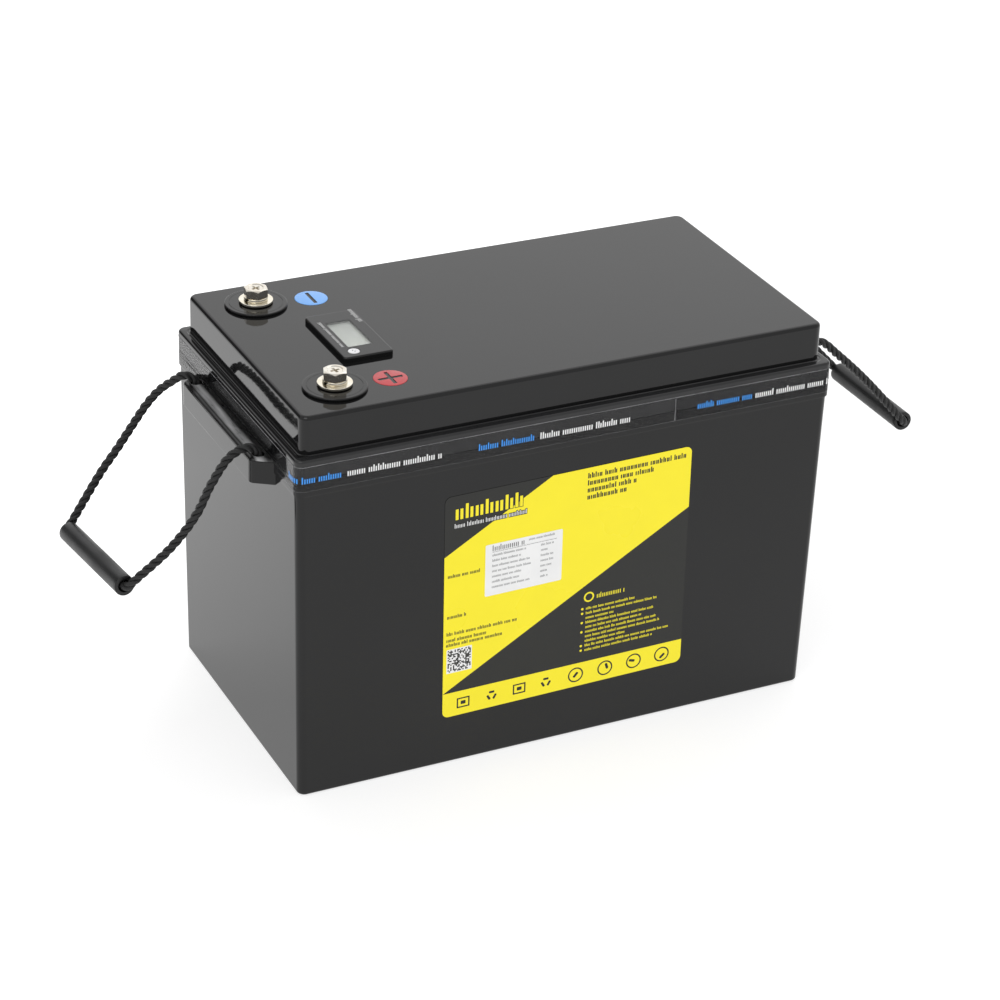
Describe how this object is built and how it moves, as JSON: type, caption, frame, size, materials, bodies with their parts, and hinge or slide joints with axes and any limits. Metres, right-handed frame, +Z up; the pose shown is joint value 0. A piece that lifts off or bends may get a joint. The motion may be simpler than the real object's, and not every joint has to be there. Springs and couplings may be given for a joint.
{
  "type": "deep cycle battery",
  "caption": "Boxy black plastic storage battery with a two-tier lid, bolted top terminals, a charge meter, a front label and rope carrying handles.",
  "frame": {"origin": "middle of the case's flat bottom, on the plane it stands on", "axes": "+Z up; +X along the case's length, away from the terminals; -Y out of the front face that carries the label"},
  "size_m": [0.5408, 0.1894, 0.2574],
  "materials": {
    "case": "glossy black ABS",
    "lid": "glossy black ABS with a fine grain on top",
    "sealant": "cured adhesive bead",
    "film": "clear printed sealing film",
    "label": "printed gloss vinyl, yellow and black",
    "sticker": "white sticker",
    "disc_blue": "blue",
    "disc_red": "red",
    "terminal_disc": "glossy black",
    "post": "machined brass",
    "seal": "rubber",
    "nut": "plated steel",
    "bright_steel": "nickel plated steel",
    "bezel": "satin black",
    "window": "clear window",
    "lcd": "grey liquid crystal panel",
    "button": "white",
    "meter_body": "black",
    "board": "green board",
    "red_wire": "red insulated wire",
    "rope": "black three-strand twisted rope",
    "grip": "satin black tube",
    "cell": "blue film over an aluminium can",
    "insulation": "glass fibre sheet",
    "plate": "rolled aluminium",
    "band": "steel band",
    "copper": "bare copper",
    "foam": "closed-cell foam",
    "bracket": "black fibre sheet",
    "chip": "black epoxy",
    "heatsink": "extruded aluminium",
    "red_cable": "red silicone cable",
    "black_cable": "black silicone cable",
    "plug": "cream nylon"
  },
  "bodies": {
    "battery": {"case": "case", "lid": "lid", "lid_seal": "sealant", "seal_tape": "film", "front_label": "label", "spec_sticker": "sticker", "polarity_neg": "disc_blue", "polarity_pos": "disc_red", "terminal_disc_neg": "terminal_disc", "terminal_disc_pos": "terminal_disc", "terminal_post_neg": "post", "terminal_post_pos": "post", "terminal_seals": "seal", "terminal_nuts": "nut", "meter_bezel": "bezel", "meter_window": "window", "meter_lcd": "lcd", "meter_body": "meter_body", "meter_board": "board", "meter_lead": "red_wire", "rope_root_left": "rope", "rope_root_right": "rope", "cell_1": "cell", "cell_2": "cell", "cell_3": "cell", "cell_4": "cell", "cell_sheets": "insulation", "end_plates": "plate", "bands": "band", "busbars": "copper", "cell_nuts": "nut", "foam_floor": "foam", "foam_right": "foam", "foam_left": "foam", "bms_bracket": "bracket", "bms_board": "board", "bms_transistors": "chip", "bms_heatsink": "heatsink", "bms_screws": "nut", "lead_positive": "red_cable", "lead_cell_negative": "black_cable", "lead_negative": "black_cable", "balance_harness": "black_cable", "balance_plug": "plug", "temperature_probe": "black_cable"},
    "handle_left": {"rope_left": "rope"},
    "grip_left_tube": {"grip_left": "grip"},
    "handle_right": {"rope_right": "rope"},
    "grip_right_tube": {"grip_right": "grip"},
    "button": {"meter_button": "button"},
    "washers_neg": {"washer_neg": "bright_steel", "spring_washer_neg": "bright_steel"},
    "bolt_neg_screw": {"bolt_neg": "bright_steel"},
    "washers_pos": {"washer_pos": "bright_steel", "spring_washer_pos": "bright_steel"},
    "bolt_pos_screw": {"bolt_pos": "bright_steel"}
  },
  "joints": [
    {"name": "handle_left_swing", "type": "hinge", "parent": "battery", "child": "handle_left", "pos_m": [-0.1875, 0, 0.2115], "axis": [0, 1, 0], "range_deg": [-40, 139]},
    {"name": "grip_left_spin", "type": "hinge", "parent": "handle_left", "child": "grip_left_tube", "pos_m": [-0.25826, 0, 0.13124], "axis": [-0.0634, 0.9954, -0.0719], "continuous": true},
    {"name": "handle_right_swing", "type": "hinge", "parent": "battery", "child": "handle_right", "pos_m": [0.1875, 0, 0.2115], "axis": [0, -1, 0], "range_deg": [-46, 133.4]},
    {"name": "grip_right_spin", "type": "hinge", "parent": "handle_right", "child": "grip_right_tube", "pos_m": [0.26588, 0, 0.13866], "axis": [0.0447, 0.9981, -0.0416], "continuous": true},
    {"name": "meter_button_push", "type": "slide", "parent": "battery", "child": "button", "axis": [0, 0, -1], "range_m": [0, 0.0006]},
    {"name": "washers_neg_lift", "type": "slide", "parent": "battery", "child": "washers_neg", "axis": [0, 0, 1], "range_m": [0, 0.006]},
    {"name": "bolt_neg_turn", "type": "hinge", "parent": "washers_neg", "child": "bolt_neg_screw", "pos_m": [-0.135, 0.0595, 0.25], "axis": [0, 0, 1], "range_deg": [0, 1720]},
    {"name": "washers_pos_lift", "type": "slide", "parent": "battery", "child": "washers_pos", "axis": [0, 0, 1], "range_m": [0, 0.006]},
    {"name": "bolt_pos_turn", "type": "hinge", "parent": "washers_pos", "child": "bolt_pos_screw", "pos_m": [-0.135, -0.0595, 0.25], "axis": [0, 0, 1], "range_deg": [0, 1720]}
  ],
  "couplings": [
    {"joint": "washers_neg_lift", "follows": "bolt_neg_turn", "m_per_rad": 0.00019894},
    {"joint": "washers_pos_lift", "follows": "bolt_pos_turn", "m_per_rad": 0.00019894}
  ]
}
